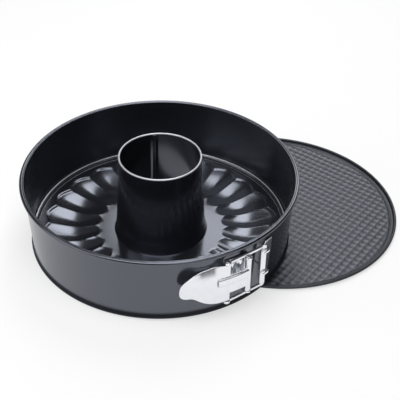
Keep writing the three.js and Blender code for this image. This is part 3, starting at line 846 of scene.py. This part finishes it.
# %% Shader values
class Value:
    """One output of a shader node. Sums, differences and products add Math nodes."""

    def __init__(self, tree, socket=None):
        self.tree = tree
        self.socket = socket

    def node(self, kind, settings=None, inputs=None, output=0):
        """Adds a node: its settings first, then each input's value or link, and gives one of its outputs."""
        made = self.tree.nodes.new(kind)
        for name, value in (settings or {}).items():
            setattr(made, name, value)
        for name, value in (inputs or {}).items():
            if isinstance(value, Value):
                self.tree.links.new(value.socket, made.inputs[name])
            else:
                made.inputs[name].default_value = value
        return Value(self.tree, made.outputs[output])

    def worked_out(self, operation, first, second):
        """Math node that works out operation on first and second."""
        return self.node("ShaderNodeMath", {"operation": operation}, {0: first, 1: second})

    def __add__(self, other):
        return self.worked_out("ADD", self, other)

    def __radd__(self, other):
        return self.worked_out("ADD", other, self)

    def __sub__(self, other):
        return self.worked_out("SUBTRACT", self, other)

    def __rsub__(self, other):
        return self.worked_out("SUBTRACT", other, self)

    def __mul__(self, other):
        return self.worked_out("MULTIPLY", self, other)

    def __rmul__(self, other):
        return self.worked_out("MULTIPLY", other, self)

    def mixed(self, first, second):
        """Colour between first and second by this value, which runs from 0 to 1."""
        mix = {"data_type": "RGBA"}
        return self.node("ShaderNodeMix", mix, {0: self, 6: first, 7: second}, output=2)

    def noise(self, place, scale, detail=3.0):
        """Soft noise between 0 and 1 at a place, with that many spots to the metre."""
        return self.node("ShaderNodeTexNoise", None, {"Vector": place, "Scale": scale, "Detail": detail})

    def place(self):
        """The piece's own object coordinates, in metres."""
        return self.node("ShaderNodeTexCoord", output="Object")

    def marked(self, name):
        """The number that mark stored under a name, and 0 on a piece without it."""
        return self.node("ShaderNodeAttribute", {"attribute_name": name}, output="Fac")

    def bump(self, height, strength):
        """Normal bent by a height in the range 0 to 1, which stands for a fifth of a millimetre."""
        inputs = {"Height": height, "Strength": strength, "Distance": 0.2 * MM}
        return self.node("ShaderNodeBump", None, inputs)


def new_material(name):
    """Material with a principled shader: the material, the shader node and a value to build from."""
    material = bpy.data.materials.new(name)
    material.use_nodes = True
    shader = material.node_tree.nodes["Principled BSDF"]
    return material, shader, Value(material.node_tree)


def feed(value, shader, name):
    """Links a value to one of the shader's inputs."""
    value.tree.links.new(value.socket, shader.inputs[name])


def coat(material, pieces):
    """Gives a material to every one of the pieces and prints their names."""
    for piece in pieces:
        piece.data.materials.append(material)
    print(material.name, "covers", [piece.name for piece in pieces])


# %% [markdown]
# The pan's coating is a black non-stick paint: smooth and glossy with a cool shine, a faint cloudiness and
# a fine sprayed grain. The marks let bare steel through on the tube's curl, paint pale steel lines on the lip
# of the tube base as painted highlights, dull the inside of the band, and turn the band's foot to dark, dull
# metal as painted shade. Three paints for three places would meet in hard lines, so one finish goes from one
# to the other.

# %% Black coating
BLACK = (0.008, 0.0084, 0.0105, 1)
SOFT_BLACK = (0.011, 0.0115, 0.0145, 1)
COOL = (0.8, 0.855, 1.0, 1)
STEEL = (0.6, 0.61, 0.65, 1)
GLOSS_IOR = 2.1

pan_black, shader, value = new_material("black_non_stick")
place = value.place()
cloud = value.noise(place, 30.0)
grain = value.noise(place, 2600.0, 2.0)
bare_and_highlight = value.marked("bare_metal_and_highlight")
dull = value.marked("dull")
painted_foot_shade = value.marked("painted_foot_shade")
# The bare-metal mark is bare steel on the tube's curl, and on the lip of the tube base a painted highlight.
feed(bare_and_highlight.mixed(cloud.mixed(BLACK, SOFT_BLACK), STEEL), shader, "Base Color")
# Metallic over the black base colour makes the marked foot dark: painted shade at the foot.
feed(bare_and_highlight * 0.6 + painted_foot_shade * 0.8, shader, "Metallic")
marked_roughness = dull * 0.05 + painted_foot_shade * 0.3 + bare_and_highlight * 0.16
feed(0.14 + cloud * 0.05 + grain * 0.03 + marked_roughness, shader, "Roughness")
feed(value.bump(grain, 0.01), shader, "Normal")
shader.inputs["IOR"].default_value = GLOSS_IOR
shader.inputs["Specular Tint"].default_value = COOL
coat(pan_black, [band, fluted_base, tube])

# %% [markdown]
# The flat base has a greyer, duller paint: a little metal powder shows in it, and its grain is coarser than
# on the pan. The pillows of the waffle are painted paler than the valleys between them, a painted sheen on
# their tops. A pattern in the paint could drift away from the pressed pillows, so the painted sheen follows
# the mark that the floor carries.

# %% Grey coating
VALLEY_GREY = (0.014, 0.0145, 0.0175, 1)
PILLOW_SHEEN_GREY = (0.115, 0.117, 0.137, 1)
PALE_COOL = (0.84, 0.88, 1.0, 1)
SATIN_IOR = 1.6

disc_grey, shader, value = new_material("grey_non_stick")
place = value.place()
cloud = value.noise(place, 40.0)
grain = value.noise(place, 1800.0, 2.0)
pillow_sheen = value.marked("pillow_sheen")
paint = pillow_sheen * (0.85 + cloud * 0.2) + grain * 0.04
# Painted sheen: the pillows are painted a paler grey than the valleys.
feed(paint.mixed(VALLEY_GREY, PILLOW_SHEEN_GREY), shader, "Base Color")
feed(0.36 + cloud * 0.06 - pillow_sheen * 0.06, shader, "Roughness")
feed(value.bump(grain, 0.06), shader, "Normal")
shader.inputs["IOR"].default_value = SATIN_IOR
shader.inputs["Specular Tint"].default_value = PALE_COOL
coat(disc_grey, [disc_floor, disc_rim])

# %% [markdown]
# Tin plate is bright but not a mirror: the rolling leaves fine lines along the sheet and handling leaves
# soft spots. Noise that is stretched along the wall gives the lines, and round noise the spots.

# %% Plated steel
TIN = (0.87, 0.885, 0.92, 1)
DULL_TIN = (0.78, 0.795, 0.83, 1)
ROLLED = (0.15, 0.15, 1.0)

tin_plate, shader, value = new_material("tin_plate")
place = value.place()
stretched = value.node("ShaderNodeVectorMath", {"operation": "MULTIPLY"}, {0: place, 1: ROLLED})
lines = value.noise(stretched, 2500.0, 2.0)
spots = value.noise(place, 180.0)
feed(spots.mixed(TIN, DULL_TIN), shader, "Base Color")
feed(0.09 + spots * 0.08 + lines * 0.05, shader, "Roughness")
feed(value.bump(lines, 0.05), shader, "Normal")
shader.inputs["Metallic"].default_value = 1.0
coat(tin_plate, [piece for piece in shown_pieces() if piece.get("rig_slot") == "plated_steel"])

# %% [markdown]
# The stage is a wide white floor. To the camera and in mirrors a good half of it is a white that doesn't
# depend on the lamps, so that it stays white into the distance, and the rest is painted, so that it keeps
# the object's soft shadow.

# %% Floor
FLOOR_HALF = 10.0
FLOOR_WHITE = (0.97, 0.97, 0.97, 1)
PLAIN_WHITE = (1, 1, 1, 1)
PLAIN_SHARE = 0.6

floor_mesh = bpy.data.meshes.new("floor")
floor_corners = [(FLOOR_HALF * x, FLOOR_HALF * y, 0) for x, y in ((-1, -1), (1, -1), (1, 1), (-1, 1))]
floor_mesh.from_pydata(floor_corners, [], [(0, 1, 2, 3)])
floor = placed("floor", floor_mesh)
floor_paint, shader, value = new_material("floor_white")
shader.inputs["Base Color"].default_value = FLOOR_WHITE
shader.inputs["Roughness"].default_value = 0.9
shader.inputs["Specular IOR Level"].default_value = 0.0
seen = value.node("ShaderNodeLightPath", output="Is Camera Ray")
mirrored = value.node("ShaderNodeLightPath", output="Is Glossy Ray")
through = value.node("ShaderNodeLightPath", output="Is Transmission Ray")
white = value.node("ShaderNodeEmission", None, {"Color": PLAIN_WHITE, "Strength": 1.0})
painted = Value(value.tree, shader.outputs[0])
plain_part = (seen + mirrored + through) * PLAIN_SHARE
shown = value.node("ShaderNodeMixShader", None, {0: plain_part, 1: painted, 2: white})
feed(shown, floor_paint.node_tree.nodes["Material Output"], "Surface")
coat(floor_paint, [floor])

# %% [markdown]
# Two soft lights stand behind the pan, where the glossy paint mirrors them to the camera. Larger ones fill
# from the left, from above and from the front, and a dim room gives the rest. Together they give a level
# surface about as much light as makes a colour show as it is written.

# %% Lights
ROOM_GREY = (0.1, 0.1, 0.105, 1)
PAN_MIDDLE = (-0.056, -0.018, 0.01)
OBJECT_MIDDLE = (-0.03, -0.01, 0.0)


def soft_light(name, place, aim, size, watts):
    """Rectangular soft light at a place, turned to face the aim, with its width and height as size."""
    lamp = bpy.data.lights.new(name, "AREA")
    lamp.shape = "RECTANGLE"
    lamp.size, lamp.size_y = size
    lamp.energy = watts
    light = bpy.data.objects.new(name, lamp)
    light.location = place
    light.rotation_euler = (Vector(aim) - Vector(place)).to_track_quat("-Z", "Y").to_euler()
    bpy.context.scene.collection.objects.link(light)
    print(name, "gives", watts, "W")


soft_light("key_light", place=(0.09, 0.586, 1.095), aim=PAN_MIDDLE, size=(0.44, 0.62), watts=3.9)
soft_light("back_light", place=(0.22, 0.92, 0.75), aim=OBJECT_MIDDLE, size=(0.85, 0.3), watts=2.2)
soft_light("left_light", place=(-0.95, -0.3, 0.65), aim=(-0.22, -0.1, 0.0), size=(0.9, 0.8), watts=4.0)
soft_light("top_light", place=(-0.2, -0.5, 1.9), aim=OBJECT_MIDDLE, size=(1.6, 1.2), watts=21.0)
soft_light("front_light", place=(0.55, -1.05, 0.76), aim=(0.0, -0.14, 0.05), size=(1.2, 0.75), watts=2.6)

world = bpy.data.worlds.new("room")
bpy.context.scene.world = world
world.use_nodes = True
world.node_tree.nodes["Background"].inputs["Color"].default_value = ROOM_GREY

# %% [markdown]
# The camera stands where the photograph was taken: in front of the pan, a little to its left, looking
# down at about thirty-seven degrees. Its angles, its distance and its lens were fitted to the circles of
# the rim, the foot, the tube and the flat base.

# %% Camera
AIM = Vector((-0.01707, -0.01091, 0.03513))
AZIMUTH = np.radians(-3.939)
ELEVATION = np.radians(36.596)
ROLL = np.radians(-2.714)
DISTANCE = 0.91752
FOCAL_PIXELS = 919.73
IMAGE_PIXELS = 400
SENSOR = 36.0

level_back = np.array([np.sin(AZIMUTH), -np.cos(AZIMUTH), 0])
back = level_back * np.cos(ELEVATION) + UPRIGHT * np.sin(ELEVATION)
level_right = np.array([np.cos(AZIMUTH), np.sin(AZIMUTH), 0])
level_up = np.cross(back, level_right)
right = np.cos(ROLL) * level_right - np.sin(ROLL) * level_up
up = np.sin(ROLL) * level_right + np.cos(ROLL) * level_up
lens = bpy.data.cameras.new("camera")
lens.sensor_width = SENSOR
lens.lens = FOCAL_PIXELS / IMAGE_PIXELS * SENSOR
camera = bpy.data.objects.new("camera", lens)
bpy.context.scene.collection.objects.link(camera)
camera.matrix_world = Matrix(np.stack([right, up, back], axis=-1).tolist()).to_4x4()
camera.location = AIM + Vector(back) * DISTANCE
bpy.context.scene.camera = camera
bpy.context.scene.view_settings.view_transform = "Standard"
print("camera at", [round(value, 4) for value in camera.location])
